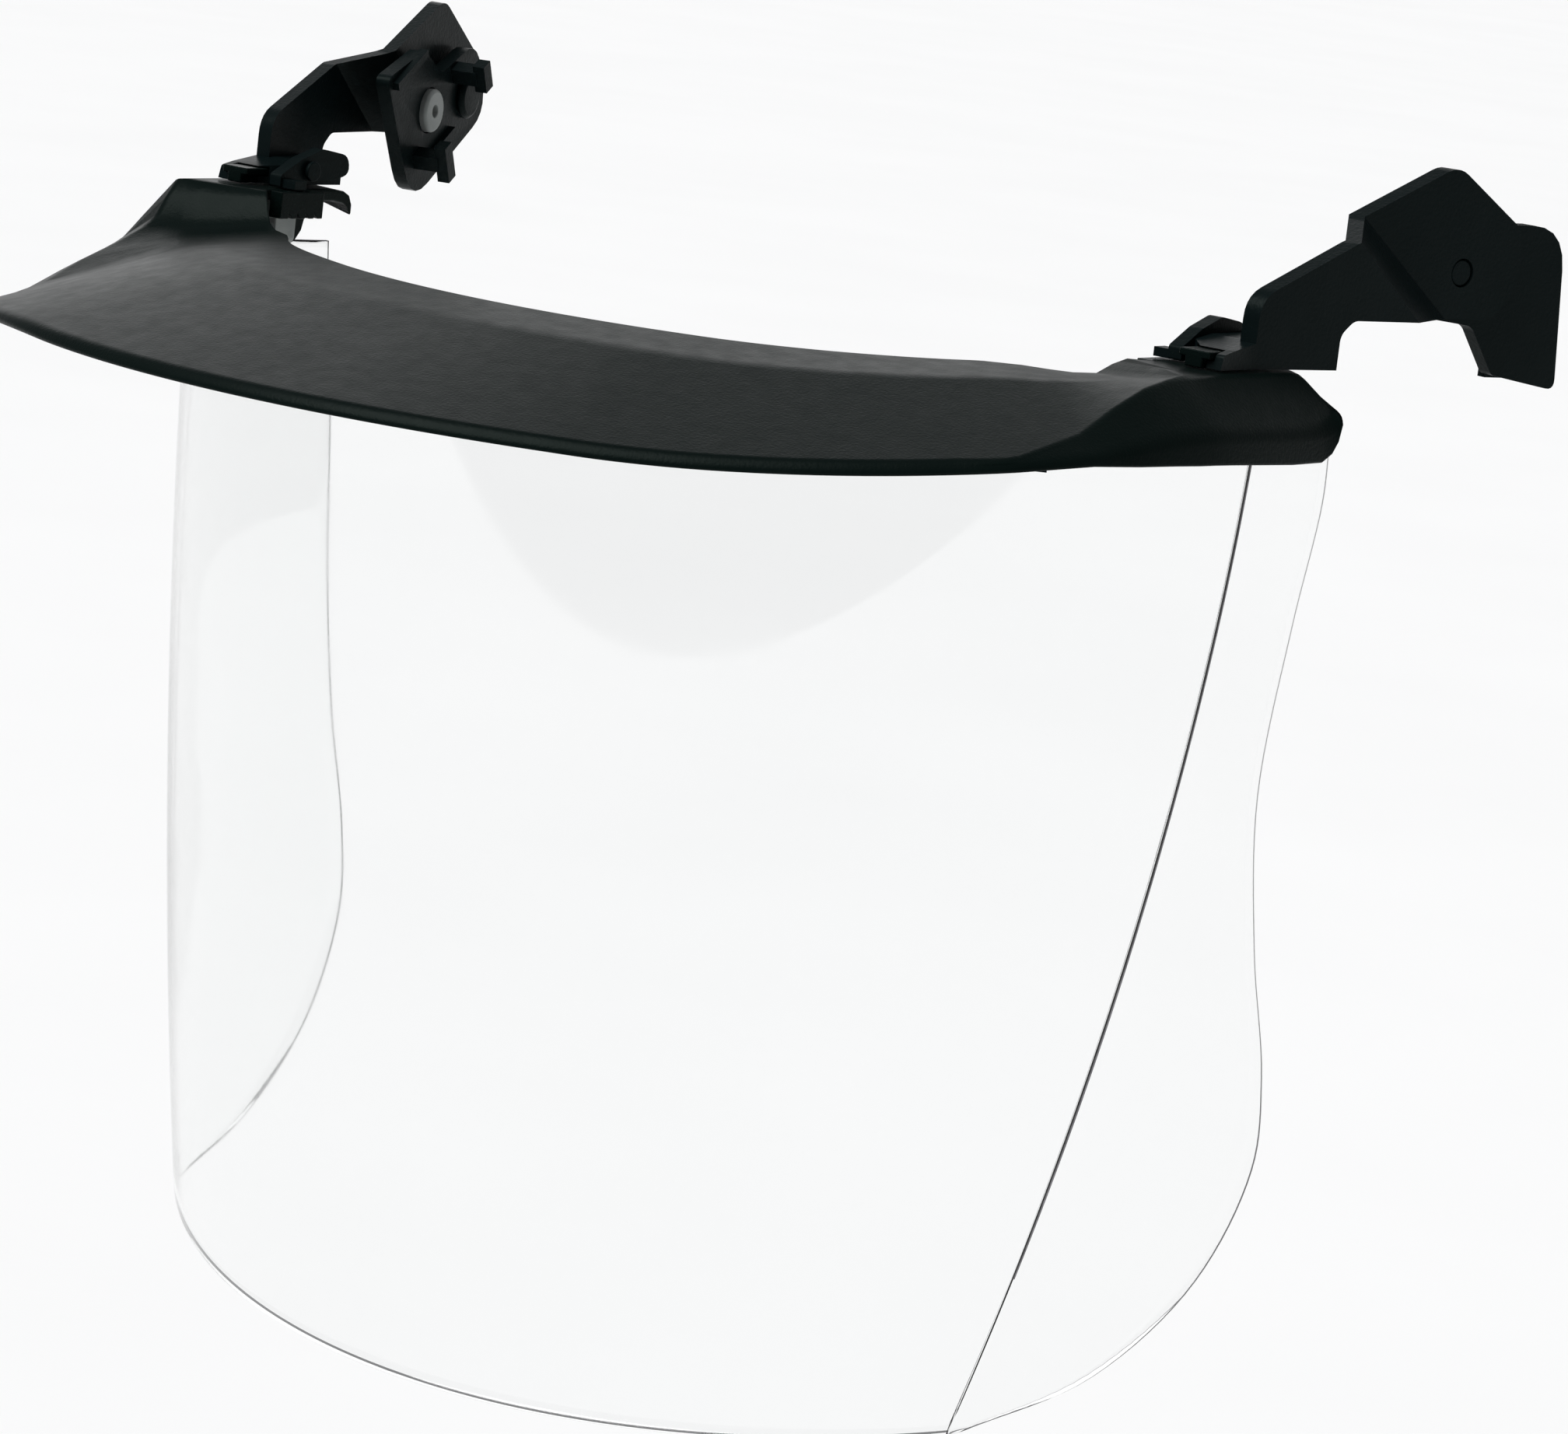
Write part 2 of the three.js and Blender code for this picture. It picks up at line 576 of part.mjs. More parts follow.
// where the bracket's hooks and its bush stand, along and up from the pivot
const HOOKS = [{ s: 3, z: -7.4, length: 6 }, { s: 24, z: 1, length: 8 }];
const INSERT = { s: 16.2, z: -5.8, radius: 4.5, hole: 1.3 };

// a stem with a cross-head that catches behind the edge of a helmet's slot
function hook({ s, z, length }) {
  const face = BRACKET.outer - BRACKET.thickness;
  return join(
    box(s - 1.8, s + 1.8, z - 1.6, z + 1.6, face - 5.6, face + 0.5),
    box(s - 1.6, s + 1.6, z - length / 2, z + length / 2, face - 7.6, face - 5));
}

function placed(geometry, turn) {
  return geometry.rotateZ(turn).applyMatrix4(PIVOT_FRAME);
}

function helmetBracket(turn) {
  const face = BRACKET.outer - BRACKET.thickness;
  const plate = extrude(roundedShape([
    [-8.6, -8.6, 7], [8.6, -10.4, 3], [15.2, -19.4, 2], [32, -22, 1.8], [29.2, 9, 9], [-8.6, 8.4, 7],
  ]), BRACKET.thickness, 5).translate(0, 0, face);
  const lip = box(16, 30.4, -20.2, -18.6, face - 1.4, face + 0.5);
  const rib = box(8, 23, 2.6, 4.2, face - 1.2, face + 0.5);
  const bore = pivotRod(BRACKET.bore, face - 1, BRACKET.outer + 1);
  const seat = pivotRod(INSERT.radius + GAP, face - 3, face + 1.6).translate(INSERT.s, INSERT.z, 0);
  return placed(cut(join(plate, lip, rib, ...HOOKS.map(hook)), bore, seat), turn);
}

// a light grey bush set in the bracket's inner face, with a blind hole
function bracketInsert(turn) {
  const face = BRACKET.outer - BRACKET.thickness;
  const low = face - 1.4;
  const high = face + 1.6 - GAP;
  const { radius, hole } = INSERT;
  const profile = [
    [0, high], [radius, high], [radius, low + 0.5], [radius - 0.5, low], [hole, low], [hole, high - 1], [0, high - 1],
  ].reverse().map(([r, h]) => new THREE.Vector2(r, h));
  const bush = new THREE.LatheGeometry(profile, 28).rotateX(PI / 2).translate(INSERT.s, INSERT.z, 0);
  return placed(bush, turn);
}

// ---- assembly ----

const black = { color: 0x151716, roughness: 0.62, metalness: 0 };
const LOOKS = {
  peak: { color: 0x232827, roughness: 0.55, metalness: 0 },
  black,
  rail: { color: 0x1b1e1d, roughness: 0.5, metalness: 0 },
  clear: { color: 0xf4f6f6, roughness: 0.03, metalness: 0, transparent: true, opacity: 0.25 },
  grey: { color: 0x8f9492, roughness: 0.5, metalness: 0 },
  metal: { color: 0x8a8c8c, roughness: 0.35, metalness: 1 },
};

function piece(name, geometry, look) {
  const mesh = new THREE.Mesh(geometry, new THREE.MeshStandardMaterial(LOOKS[look]));
  mesh.name = name;
  return mesh;
}

const group = new THREE.Group();
group.add(piece('brow_guard', browGuard(), 'peak'));
group.add(piece('visor_sheet', visorSheet(), 'clear'));
group.add(piece('sheet_retainer', sheetRetainer(), 'black'));
RIVET_ANGLES.forEach((angle, i) => group.add(piece(`retainer_rivet_${i + 1}`, retainerRivet(angle), 'metal')));

// each side's pieces: name, geometry on the wearer's left, look
const sidePieces = (turn) => [
  ['rail', rail(), 'rail'],
  ['rack', rack(), 'rail'],
  ['wing_clip', wingClip(), 'grey'],
  ['arm', arm(), 'black'],
  ['release_lever', releaseLever(), 'black'],
  ['lever_pin', leverPin(), 'metal'],
  ['pivot_pin', pivotPin(), 'grey'],
  ['pivot_washer', pivotWasher(), 'metal'],
  ['helmet_bracket', helmetBracket(turn), 'black'],
  ['bracket_insert', bracketInsert(turn), 'grey'],
];

for (const [name, geometry, look] of sidePieces(0)) group.add(piece(`${name}_left`, geometry, look));
for (const [name, geometry, look] of sidePieces(FOLDED)) group.add(piece(`${name}_right`, mirrored(geometry), look));

export default group;
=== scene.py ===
"""Looks for the helmet-mounted face shield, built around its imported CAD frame. Metres, +Z up."""

import math

import bmesh
import bpy
from mathutils import Matrix, Vector


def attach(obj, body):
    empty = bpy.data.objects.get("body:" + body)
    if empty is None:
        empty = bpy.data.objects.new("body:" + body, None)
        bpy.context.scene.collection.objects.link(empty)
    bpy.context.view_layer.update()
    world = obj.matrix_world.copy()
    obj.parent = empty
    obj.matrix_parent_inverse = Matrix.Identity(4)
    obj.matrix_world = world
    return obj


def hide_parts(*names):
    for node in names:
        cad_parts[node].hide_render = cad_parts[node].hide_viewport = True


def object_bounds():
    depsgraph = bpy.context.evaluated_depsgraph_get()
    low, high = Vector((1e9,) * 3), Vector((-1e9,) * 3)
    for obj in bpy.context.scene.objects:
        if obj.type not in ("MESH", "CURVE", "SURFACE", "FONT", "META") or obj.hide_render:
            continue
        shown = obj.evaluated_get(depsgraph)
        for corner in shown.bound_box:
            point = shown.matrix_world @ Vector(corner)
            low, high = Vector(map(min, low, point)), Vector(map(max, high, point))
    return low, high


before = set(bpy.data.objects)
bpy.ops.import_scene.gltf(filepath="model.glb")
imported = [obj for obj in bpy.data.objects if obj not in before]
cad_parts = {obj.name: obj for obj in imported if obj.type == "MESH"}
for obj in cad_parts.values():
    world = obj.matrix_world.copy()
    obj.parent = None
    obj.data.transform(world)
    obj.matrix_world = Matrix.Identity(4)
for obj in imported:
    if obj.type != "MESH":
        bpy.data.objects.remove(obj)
cad_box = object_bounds()
MM = 0.001


# ---- materials ----

class Nodes:
    """A Principled material under construction."""

    def __init__(self, name):
        self.material = bpy.data.materials.new(name)
        self.material.use_nodes = True
        self.tree = self.material.node_tree
        self.shader = self.tree.nodes["Principled BSDF"]
        self.place = self.tree.nodes.new("ShaderNodeTexCoord").outputs["Object"]

    def set(self, **values):
        for name, value in values.items():
            self.shader.inputs[name.replace("_", " ")].default_value = value

    def link(self, source, target):
        self.tree.links.new(source, target)

    def noise(self, scale, detail=3.0, stretch=None, roughness=0.5):
        node = self.tree.nodes.new("ShaderNodeTexNoise")
        node.inputs["Scale"].default_value = scale
        node.inputs["Detail"].default_value = detail
        node.inputs["Roughness"].default_value = roughness
        source = self.place
        if stretch:
            mapping = self.tree.nodes.new("ShaderNodeMapping")
            mapping.inputs["Scale"].default_value = stretch
            self.link(source, mapping.inputs["Vector"])
            source = mapping.outputs["Vector"]
        self.link(source, node.inputs["Vector"])
        return node.outputs["Fac"]

    def ramp(self, source, low, high, start=0.3, end=0.7):
        """Remaps a value, or blends two colours by it."""
        if isinstance(low, tuple):
            node = self.tree.nodes.new("ShaderNodeValToRGB")
            for stop, place, colour in zip(node.color_ramp.elements, (start, end), (low, high)):
                stop.position = place
                stop.color = (*colour, 1)
            self.link(source, node.inputs["Fac"])
            return node.outputs["Color"]
        node = self.tree.nodes.new("ShaderNodeMapRange")
        for name, value in zip(("From Min", "From Max", "To Min", "To Max"), (start, end, low, high)):
            node.inputs[name].default_value = value
        self.link(source, node.inputs["Value"])
        return node.outputs["Result"]

    def edge_wear(self, strength):
        """A value that is higher along outer edges."""
        node = self.tree.nodes.new("ShaderNodeNewGeometry")
        return self.ramp(node.outputs["Pointiness"], 0.0, strength, 0.52, 0.6)

    def add(self, a, b):
        node = self.tree.nodes.new("ShaderNodeMath")
        node.operation = "ADD"
        self.link(a, node.inputs[0])
        self.link(b, node.inputs[1])
        return node.outputs[0]

    def bump(self, *layers):
        """Stacks (height value, depth in metres) layers of relief."""
        normal = None
        for height, depth in layers:
            node = self.tree.nodes.new("ShaderNodeBump")
            node.inputs["Distance"].default_value = depth
            self.link(height, node.inputs["Height"])
            if normal:
                self.link(normal, node.inputs["Normal"])
            normal = node.outputs["Normal"]
        self.link(normal, self.shader.inputs["Normal"])


def moulded_plastic(name, dark, light, grain, roughness, specular):
    """Matte plastic with an etched grain, a faint mottle and slightly polished outer edges."""
    m = Nodes(name)
    m.set(IOR=1.5, Specular_IOR_Level=specular, Specular_Tint=(0.84, 1, 0.92, 1))
    mottle = m.noise(90, 4)
    m.link(m.ramp(mottle, dark, light), m.shader.inputs["Base Color"])
    rough = m.ramp(m.noise(260, 2), roughness - 0.025, roughness + 0.03)
    m.link(m.add(rough, m.edge_wear(-0.12)), m.shader.inputs["Roughness"])
    m.bump((m.noise(grain, 2, roughness=0.6), 0.00006), (m.noise(120, 2), 0.00001))
    return m.material


def clear_sheet():
    """Clear polished sheet with a trace of haze and very shallow ripple."""
    m = Nodes("clear_polycarbonate")
    m.set(IOR=1.5, Transmission_Weight=1.0, Specular_IOR_Level=0.5)
    tint = m.ramp(m.noise(9, 3), (0.962, 0.968, 0.966), (0.978, 0.982, 0.98))
    m.link(tint, m.shader.inputs["Base Color"])
    m.link(m.ramp(m.noise(60, 5), 0.012, 0.04), m.shader.inputs["Roughness"])
    m.bump((m.noise(7, 1, roughness=0.3), 0.0003))
    return m.material


def painted_edge_shade():
    """Painted shade for the sheet's sawn edge and scored bends: an opaque streaked grey standing in for the
    dark look the edge has because light inside the sheet leaves elsewhere.
    """
    m = Nodes("sheet_edge_painted_shade")
    m.set(IOR=1.5, Specular_IOR_Level=0.3)
    # painted shade: a streaked dark grey in place of the clear sheet's own look at its edge
    streaked_shade = m.ramp(m.noise(700, 3, (1, 1, 0.2)), (0.16, 0.155, 0.165), (0.3, 0.29, 0.31))
    m.link(streaked_shade, m.shader.inputs["Base Color"])
    m.link(m.ramp(m.noise(400, 2), 0.35, 0.55), m.shader.inputs["Roughness"])
    m.bump((m.noise(1800, 2, (1, 1, 0.2)), 0.00004))
    return m.material


def plated_steel():
    m = Nodes("plated_steel")
    m.set(Metallic=1.0)
    m.link(m.ramp(m.noise(90, 3), (0.42, 0.43, 0.43), (0.56, 0.57, 0.57)), m.shader.inputs["Base Color"])
    m.link(m.ramp(m.noise(900, 2, (1, 1, 8)), 0.24, 0.42), m.shader.inputs["Roughness"])
    m.bump((m.noise(1500, 2, (1, 1, 10)), 0.00002))
    return m.material


def paper_floor():
    m = Nodes("pale_floor")
    m.set(Specular_IOR_Level=0.1)
    m.link(m.ramp(m.noise(3, 2), (0.93, 0.93, 0.93), (0.945, 0.945, 0.945)), m.shader.inputs["Base Color"])
    m.link(m.ramp(m.noise(30, 2), 0.85, 0.95), m.shader.inputs["Roughness"])
    return m.material


LOOKS = {
    "guard": moulded_plastic("guard_plastic", (0.002, 0.0048, 0.0043), (0.0026, 0.0056, 0.0051),
                             1700, 0.36, 0.05),
    "arm_black": moulded_plastic("arm_plastic", (0.0028, 0.0058, 0.0062), (0.0042, 0.0074, 0.0078),
                                 1400, 0.42, 0.045),
    "clear": clear_sheet(),
    "grey": moulded_plastic("grey_plastic", (0.2, 0.215, 0.21), (0.27, 0.285, 0.28), 1500, 0.48, 0.35),
    "steel": plated_steel(),
}
# opaque grey of painted shade for the sheet's cut edges and scored bends
EDGE_SHADE = painted_edge_shade()


# ---- mesh helpers ----

def add_piece(name, bm, slot, body, *replaced, extra=()):
    """Turns a bmesh into an object that stands for CAD nodes and rides on their body."""
    bmesh.ops.recalc_face_normals(bm, faces=bm.faces)
    mesh = bpy.data.meshes.new(name)
    bm.to_mesh(mesh)
    bm.free()
    for material in (LOOKS[slot], *extra):
        mesh.materials.append(material)
    piece = bpy.data.objects.new(name, mesh)
    bpy.context.scene.collection.objects.link(piece)
    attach(piece, body)
    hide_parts(*replaced)
    weighted = piece.modifiers.new("weighted_normals", "WEIGHTED_NORMAL")
    weighted.keep_sharp = True
    weighted.weight = 60
    return piece


def smooth(bm, angle=32):
    for face in bm.faces:
        face.smooth = True
    for edge in bm.edges:
        if len(edge.link_faces) == 2 and edge.calc_face_angle(0) > math.radians(angle):
            edge.smooth = False


def loft(rings):
    """A closed body through equal closed outlines."""
    bm = bmesh.new()
    rows = [[bm.verts.new(p) for p in ring] for ring in rings]
    n = len(rows[0])
    for a, b in zip(rows, rows[1:]):
        for i in range(n):
            j = (i + 1) % n
            bm.faces.new((a[i], a[j], b[j], b[i]))
    bm.faces.new(reversed(rows[0]))
    bm.faces.new(rows[-1])
    return bm


def curve(p, t):
    """A smooth curve from the second to the third of four points."""
    a = 2 * p[1]
    b = p[2] - p[0]
    c = 2 * p[0] - 5 * p[1] + 4 * p[2] - p[3]
    d = 3 * p[1] - p[0] - 3 * p[2] + p[3]
    return (a + b * t + c * t * t + d * t ** 3) / 2


def refined(node, width=0.35 * MM, angle=28):
    """A CAD node's shape with its flat faces whole and its edges rounded."""
    bm = bmesh.new()
    bm.from_mesh(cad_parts[node].data)
    bmesh.ops.remove_doubles(bm, verts=bm.verts, dist=2e-6)
    bmesh.ops.dissolve_limit(bm, angle_limit=math.radians(0.6), verts=bm.verts, edges=bm.edges)
    sharp = [e for e in bm.edges if len(e.link_faces) == 2 and e.calc_face_angle(0) > math.radians(angle)]
    bmesh.ops.bevel(bm, geom=sharp, offset=width, offset_type="OFFSET", segments=3, profile=0.5,
                    affect="EDGES", clamp_overlap=True)
    smooth(bm)
    return bm


# ---- the sheet's surface ----

# millimetres, as in the CAD
SHEET, SHEET_TOP = 1.0, -30.5
FRONT_Y = (-130.9, -120)
CREASE_TOP = (127.5, -67)
CREASE_BOW = 22
CORNER = (97, -79, -217)
MIDDLE_DROP = 8.5
WING_TOP = (122, -33)
SCORED_SHARE = 0.82


def lerp(a, b, t):
    return a + (b - a) * t


def crease_x(v):
    """Half width at the crease, at a share of the sheet's height."""
    return CREASE_TOP[0] - (CREASE_TOP[0] - CORNER[0] - CREASE_BOW) * v - CREASE_BOW * v * v


def crease_y(v):
    """Depth of the crease, at a share of the sheet's height."""
    return lerp(CREASE_TOP[1], CORNER[1], v ** 1.5)


def front_arc(v):
    """Radius, centre and half angle of the front panel at a share of its height."""
    front = lerp(*FRONT_Y, v)
    rise = crease_y(v) - front
    radius = (crease_x(v) ** 2 + rise ** 2) / (2 * rise)
    return radius, front + radius, math.asin(crease_x(v) / radius)


def front_point(u, v):
    radius, centre, end = front_arc(v)
    bottom = CORNER[2] - MIDDLE_DROP * (1 - u * u)
    z = lerp(SHEET_TOP, bottom, v)
    return Vector((radius * math.sin(u * end), centre - radius * math.cos(u * end), z))


WING_EDGE = [Vector(p) for p in (
    (*WING_TOP, SHEET_TOP), (121.6, -32, -42), (118.3, -31.5, -66), (115.3, -30.8, -98),
    (115.4, -25, -128), (116, -17.5, -153), (115.6, -16, -171), (112.6, -26, -192),
    (106.8, -48, -208.5), (98.2, -76.4, -216.6))]


def wing_edge(v):
    """Centripetal curve through the wing's free edge."""
    t = v * (len(WING_EDGE) - 1)
    i = min(int(t), len(WING_EDGE) - 2)
    t -= i
    p1, p2 = WING_EDGE[i], WING_EDGE[i + 1]
    p0 = WING_EDGE[i - 1] if i else 2 * p1 - p2
    p3 = WING_EDGE[i + 2] if i + 2 < len(WING_EDGE) else 2 * p2 - p1
    d0, d1, d2 = ((b - a).length ** 0.5 for a, b in ((p0, p1), (p1, p2), (p2, p3)))
    m1 = ((p1 - p0) / d0 - (p2 - p0) / (d0 + d1) + (p2 - p1) / d1) * d1
    m2 = ((p2 - p1) / d1 - (p3 - p1) / (d1 + d2) + (p3 - p2) / d2) * d1
    return (p1 + m1 * t + (-3 * p1 + 3 * p2 - 2 * m1 - m2) * t * t
            + (2 * p1 - 2 * p2 + m1 + m2) * t ** 3)


def wing_point(w, v):
    return front_point(1, v).lerp(wing_edge(v), w)


def outside_sheet(x, y):
    """How far a plan point lies outside the sheet's top edge."""
    radius, centre, _ = front_arc(0)
    crease, free = CREASE_TOP, WING_TOP
    if y < crease[1]:
        return math.hypot(x, y - centre) - radius
    return x - lerp(crease[0], free[0], (y - crease[1]) / (free[1] - crease[1]))


def visor_sheet():
    """One millimetre of bent sheet; its cut edges and the outer face of its scored bends carry a material of
    painted shade.
    """
    rows = 72
    half = [i / 44 for i in range(44)] + [0.999, 1, 1.005] + [1 + i / 12 for i in range(1, 13)]
    columns = [-c for c in reversed(half[1:])] + half
    last = len(columns) - 1

    def surface(column, v):
        share = abs(column)
        p = front_point(share, v) if share <= 1 else wing_point(share - 1, v)
        return Vector((math.copysign(p.x, column), p.y, p.z)) if column else p

    bm = bmesh.new()
    outer, inner = [], []
    for row in range(rows + 1):
        line = [surface(column, row / rows) for column in columns]
        outer.append([bm.verts.new(p * MM) for p in line])
        back = []
        for i, p in enumerate(line):
            along = (line[min(i + 1, last)] - line[max(i - 1, 0)]).to_2d().normalized()
            back.append(bm.verts.new(Vector((p.x - along.y * SHEET, p.y + along.x * SHEET, p.z)) * MM))
        inner.append(back)
    for row in range(rows):
        for i in range(last):
            for side in (outer, inner):
                face = bm.faces.new((side[row][i], side[row][i + 1], side[row + 1][i + 1], side[row + 1][i]))
                # the outer face of the scored bend takes the painted-shade grey, a painted dark line along the
                # bend
                scored = 0.999 < abs(columns[i] + columns[i + 1]) / 2 < 1.005 and row < SCORED_SHARE * rows
                face.material_index = int(scored and side is outer)
    rim = [(row, 0) for row in range(rows)] + [(rows, i) for i in range(last)]
    rim += [(row, last) for row in range(rows, 0, -1)] + [(0, i) for i in range(last, 0, -1)]
    # the cut edges take the painted-shade grey
    for (r0, c0), (r1, c1) in zip(rim, rim[1:] + rim[:1]):
        edge = bm.faces.new((outer[r0][c0], outer[r1][c1], inner[r1][c1], inner[r0][c0]))
        edge.material_index = 1
    smooth(bm, 12)
    return bm


# ---- brow guard ----

# millimetres, as in the CAD; the arcs are radius, front and half width
RIM = (153.5, -190, 121.6)
INNER = (108, -127, 82.7)
SHELL, DECK_Z = 2.4, -17.8
CREASE_Z = -24.4
RIB_CLEARANCE = 1.1
RIB = 2.0
# inner edge, ridge, outer edge, heights of all three, flex at the top and at the bottom
SIDE_STATIONS = [
    ((87.5, -83.5), (122, -114), (127.2, -116), (-22.6, -32.6, -37.2), 5.6, 5.6),
    ((91.5, -80.5), (121.8, -104), (129.4, -105), (-22.8, -28.2, -36.2), 5.5, 4.5),
    ((95, -78.5), (121.6, -95), (130.6, -96), (-22.8, -25, -35.2), 5.4, 3.5),
    ((98.6, -76.4), (121.6, -88), (131.3, -89), (-22.2, -22.8, -34.4), 4.6, 2.6),
    ((100.8, -75), (121.8, -84), (131.6, -85), (-20, -21.4, -33.8), 3.6, 2),
    ((102.8, -73.6), (122, -79), (131.8, -80), (DECK_Z, DECK_Z, -33.3), 0, 1.4),
    ((106, -70), (122.4, -71), (131.8, -71), (DECK_Z, DECK_Z, -33), 0, 0.8),
    ((106, -60), (122.6, -60), (131.6, -60), (DECK_Z, DECK_Z, -32.6), 0, 0),
    ((106, -50), (122.6, -50), (131.4, -50), (DECK_Z, DECK_Z, -32.6), 0, 0),
    ((106, -47), (122.6, -47), (131.4, -47), (DECK_Z - 0.4, DECK_Z - 0.4, -31.2), 0, 0),
    ((106, -45.4), (122.6, -45.4), (131.4, -45.4), (DECK_Z - 1.2, DECK_Z - 1.2, -29.2), 0, 0),
    ((106, -44.6), (122.6, -44.6), (131.4, -44.6), (DECK_Z - 2.8, DECK_Z - 2.8, -26.2), 0, 0),
]


def arc_point(radius, front, half, share):
    """A plan point on an arc, at a share of its half."""
    angle = share * math.asin(half / radius)
    return Vector((radius * math.sin(angle), front + radius * (1 - math.cos(angle))))


def brow_stations():
    """Inner edge, ridge, outer edge, crease share, crease height, heights and flex, down one side."""
    stations = []
    for i in range(13):
        share = i / 12
        outer = arc_point(*RIM, share)
        flex = 5.5 * max(0, (share - 0.5) / 0.5) ** 1.6
        stations.append((arc_point(*INNER, share), outer * (1 - 1 / RIM[0]), outer,
                         lerp(0.24, 0.34, share), CREASE_Z, (-22.5, -36, -38.5), flex, flex))
    for i, (inner, ridge, outer, heights, flex, low_flex) in enumerate(SIDE_STATIONS):
        crease = lerp(0.34, 0.8, min(1, (i + 1) / 6))
        crease_z = CREASE_Z + (0, 0.3, 0.7, 1.7, 4.2)[i] if i < 5 else DECK_Z
        stations.append((Vector(inner), Vector(ridge), Vector(outer), crease,
                         crease_z, heights, flex, low_flex))
    return stations


def brow_section(station, side):
    """The guard's outline at a station, with the rounding of each corner in millimetres."""
    inner, ridge, outer, crease, crease_z, (inner_z, ridge_z, bottom_z), flex, low_flex = station
    width = (ridge - inner).length
    crease_r = crease * width

    def at(r, z):
        p = inner.lerp(ridge, r / width)
        return Vector((p.x, p.y, z))

    def top(r):
        if r < crease_r:
            return lerp(inner_z, crease_z, r / crease_r)
        return lerp(crease_z, ridge_z, (r - crease_r) / (width - crease_r))

    low, high = 0, width
    for _ in range(30):
        middle = (low + high) / 2
        p = at(middle, 0)
        low, high = (low, middle) if outside_sheet(p.x, p.y) > 0 else (middle, high)
    rib_outer = min(low - SHEET - RIB_CLEARANCE, width - 2.6)
    rib_inner = rib_outer - RIB
    rib_bottom = bottom_z + 1.2
    wall = lerp(2.2, 1.6, min(1, (outer - ridge).length / 8))
    wall_bottom = inner.lerp(outer, 1 - wall / (outer - inner).length)
    shoulder = ridge.lerp(outer, 0.92)
    section = [
        (at(0, inner_z), 0.5), (at(crease_r, crease_z), 1.8), (at(width, ridge_z), 1.0),
        (Vector((*shoulder, lerp(ridge_z, bottom_z, 0.6))), 2), (Vector((*outer, bottom_z)), 0.5),
        (Vector((*wall_bottom, bottom_z)), 0.5), (at(width - 2, max(ridge_z - SHELL, bottom_z + 0.3)), 0.8),
        (at(rib_outer, top(rib_outer) - SHELL), 0.5), (at(rib_outer, rib_bottom), 0.4),
        (at(rib_inner, rib_bottom), 0.4), (at(rib_inner, top(rib_inner) - SHELL), 0.5),
        (at(0, inner_z - SHELL), 0.5),
    ]
    corners = []
    for p, radius in section:
        reach = min(1, (p.to_2d() - inner).length / width)
        depth = max(0, min(1, (ridge_z - p.z) / (ridge_z - bottom_z)))
        lift = side * lerp(flex, low_flex, depth) * lerp(0.25, 1, reach)
        corners.append((Vector((side * p.x, p.y, p.z + lift)), radius))
    return rounded(corners)


def rounded(corners, steps=4):
    """A closed outline with each corner (point, radius) rounded off."""
    outline = []
    for i, (p, radius) in enumerate(corners):
        a, b = corners[i - 1][0] - p, corners[(i + 1) % len(corners)][0] - p
        start = p + a.normalized() * min(radius, 0.45 * a.length)
        end = p + b.normalized() * min(radius, 0.45 * b.length)
        for k in range(steps + 1):
            t = k / steps
            outline.append(start * (1 - t) ** 2 + p * 2 * t * (1 - t) + end * t * t)
    return outline


def brow_guard():
    """The guard as one loft: smooth round the front and straight between the side stations."""
    stations = brow_stations()
    sections = [brow_section(s, -1) for s in reversed(stations[1:])] + [brow_section(s, 1) for s in stations]
    fine = []
    side = len(SIDE_STATIONS)
    for i in range(len(sections) - 1):
        straight = i < side or i >= len(sections) - 1 - side
        steps = 2 if straight else 5
        for k in range(steps):
            t = k / steps
            if straight:
                fine.append([a.lerp(b, t) for a, b in zip(sections[i], sections[i + 1])])
            else:
                fine.append([curve(four, t) for four in zip(*sections[i - 1:i + 3])])
    fine.append(sections[-1])
    bm = loft([[p * MM for p in ring] for ring in fine])
    smooth(bm, 40)
    return bm


# ---- build ----

add_piece("brow_guard_shell", brow_guard(), "guard", "frame", "brow_guard")
add_piece("visor_sheet_bent", visor_sheet(), "clear", "frame", "visor_sheet", extra=(EDGE_SHADE,))

SLOTS = {
    "rail": "guard", "rack": "guard", "wing_clip": "grey", "arm": "arm_black", "release_lever": "arm_black",
    "lever_pin": "arm_black", "pivot_pin": "arm_black", "pivot_washer": "steel", "helmet_bracket": "arm_black",
    "bracket_insert": "grey",
}
BODIES = {
    "arm": "arm", "lever_pin": "arm", "pivot_pin": "arm", "pivot_washer": "arm",
    "release_lever": "lever", "helmet_bracket": "bracket", "bracket_insert": "bracket",
}
BEVELS = {"rail": 0.3, "rack": 0.2, "wing_clip": 0.25, "arm": 0.6, "release_lever": 0.3, "helmet_bracket": 0.45}

for side in ("left", "right"):
    for part, slot in SLOTS.items():
        body = f"{BODIES[part]}_{side}" if part in BODIES else "frame"
        bm = refined(f"{part}_{side}", BEVELS.get(part, 0.25) * MM)
        add_piece(f"{part}_{side}_rounded", bm, slot, body, f"{part}_{side}")

add_piece("sheet_retainer_rounded", refined("sheet_retainer", 0.3 * MM), "arm_black", "frame", "sheet_retainer")
for i in range(1, 6):
    add_piece(f"retainer_rivet_{i}_rounded", refined(f"retainer_rivet_{i}", 0.3 * MM), "steel", "frame",
              f"retainer_rivet_{i}")


# ---- stage, light and camera ----

# metres; the floor's front edge, behind the camera, shows as a darker curve in the sheet
FLOOR_HALF, FLOOR_FRONT, FLOOR_DROP = 60, -1.72, 0.3

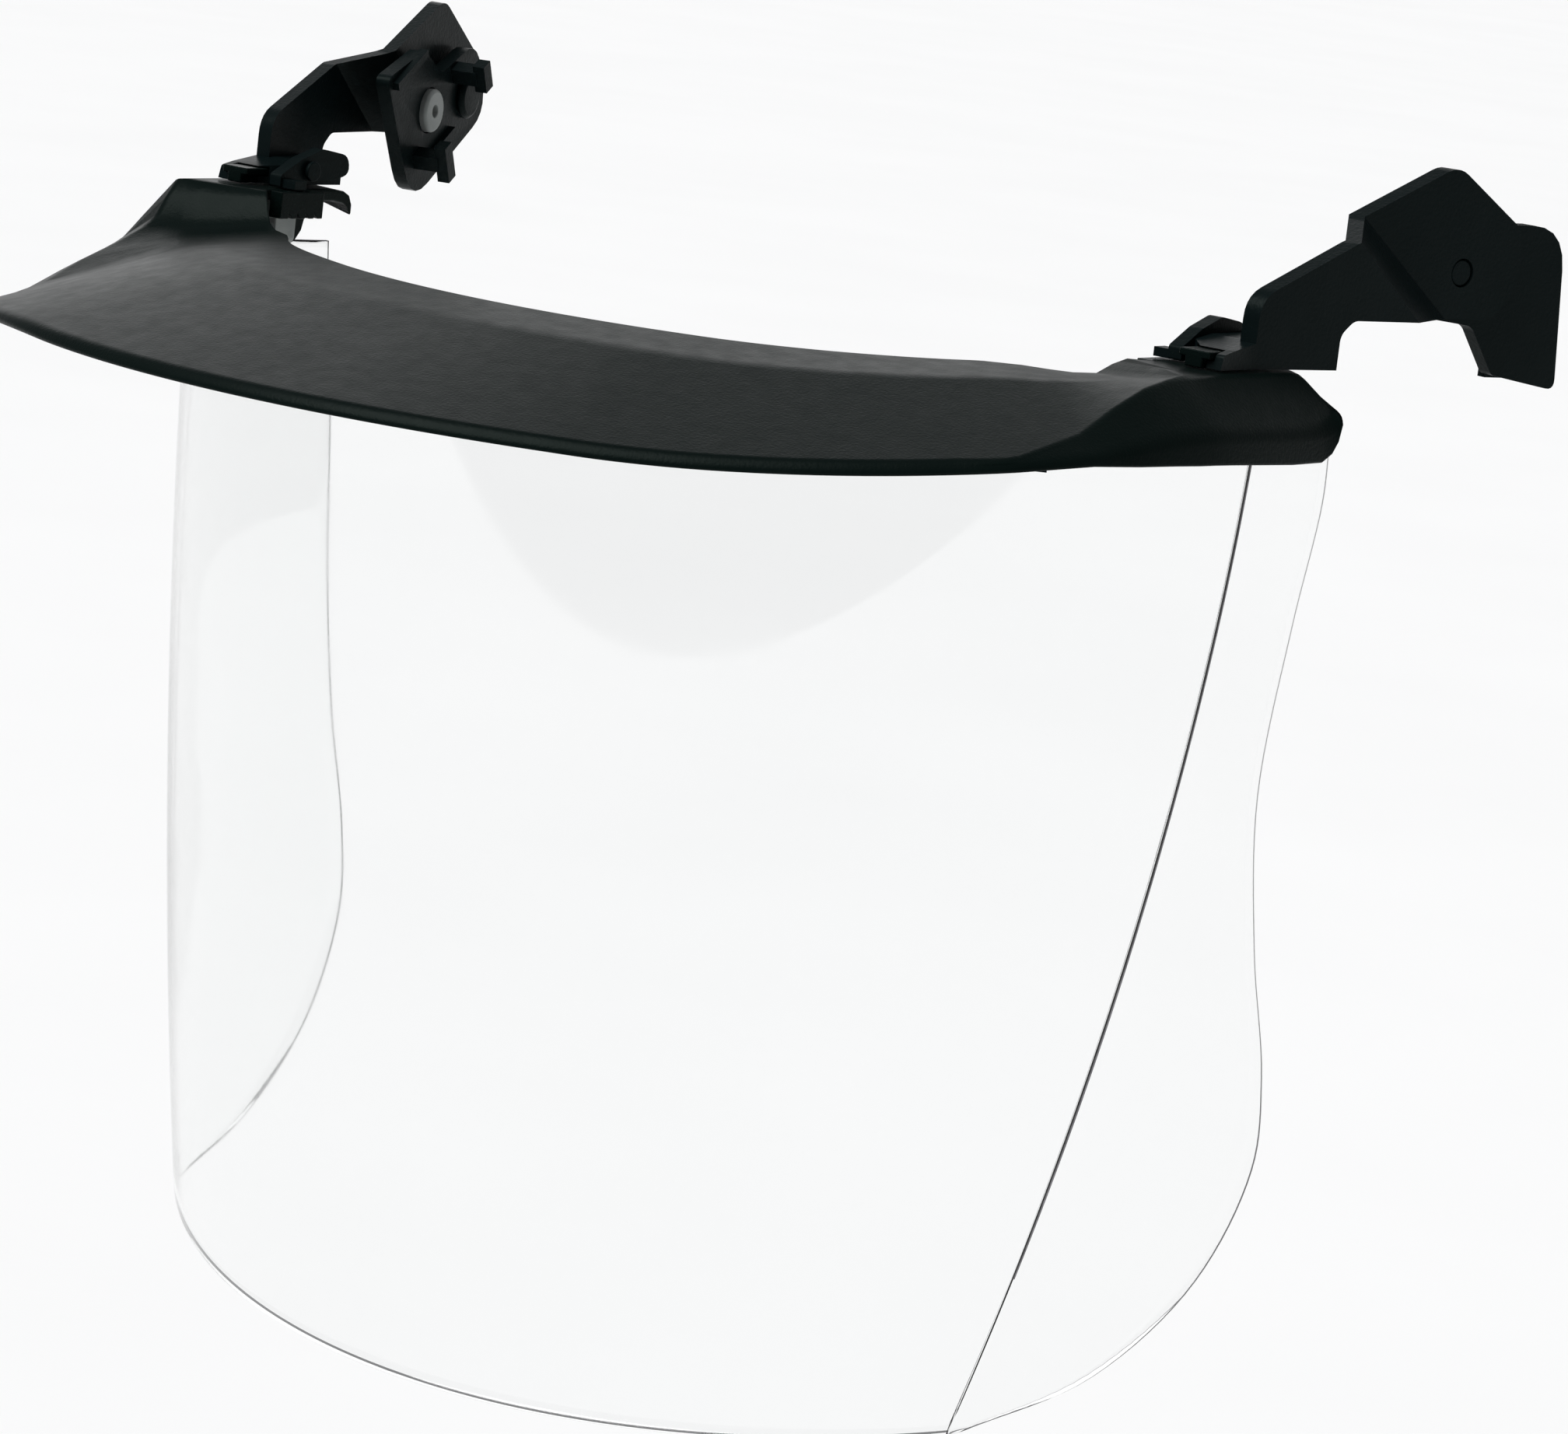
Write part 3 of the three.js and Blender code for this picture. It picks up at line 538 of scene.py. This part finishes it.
floor_bm = bmesh.new()
bmesh.ops.create_grid(floor_bm, x_segments=8, y_segments=8, size=FLOOR_HALF)
for vertex in floor_bm.verts:
    vertex.co.y += FLOOR_HALF + FLOOR_FRONT
    vertex.co.z = cad_box[0][2] - FLOOR_DROP
floor_mesh = bpy.data.meshes.new("floor")
floor_bm.to_mesh(floor_mesh)
floor_bm.free()
floor_mesh.materials.append(paper_floor())
floor = bpy.data.objects.new("floor", floor_mesh)
bpy.context.scene.collection.objects.link(floor)

world = bpy.data.worlds.new("studio")
bpy.context.scene.world = world
world.use_nodes = True
world.node_tree.nodes["Background"].inputs["Color"].default_value = (0.97, 0.98, 1, 1)
world.node_tree.nodes["Background"].inputs["Strength"].default_value = 0.2


def soft_sun(name, towards, angle, strength):
    """A far panel of light shining in a direction, as wide as an angle in degrees."""
    data = bpy.data.lights.new(name, "SUN")
    data.energy = strength
    data.angle = math.radians(angle)
    lamp = bpy.data.objects.new(name, data)
    lamp.rotation_euler = Vector(towards).to_track_quat("-Z", "Y").to_euler()
    bpy.context.scene.collection.objects.link(lamp)


soft_sun("front_key", (0.25, 0.75, -1.0), 50, 3.15)
soft_sun("back_low_left", (0.85, -0.75, -0.36), 34, 0.26)
soft_sun("back_low", (0.15, -1, -0.34), 34, 0.24)

camera_data = bpy.data.cameras.new("camera")
SENSOR_MM, FIELD_SHARE = 36, 2016 / 7500  # field width over distance
camera_data.lens = SENSOR_MM / FIELD_SHARE
camera_data.sensor_width = SENSOR_MM
camera_data.clip_start = 0.05
camera = bpy.data.objects.new("camera", camera_data)
bpy.context.scene.collection.objects.link(camera)
right = Vector((0.7886, 0.6043, 0.1136))
up = Vector((-0.1953, 0.0709, 0.9782))
back = Vector((0.583, -0.7936, 0.174))
turn = Matrix((right, up, back)).transposed().to_4x4()
turn = turn.to_quaternion().to_matrix().to_4x4()
camera.matrix_world = Matrix.Translation((0.6677, -0.9314, 0.0924)) @ turn
bpy.context.scene.camera = camera

bpy.context.scene.view_settings.view_transform = "Standard"

bpy.context.view_layer.update()
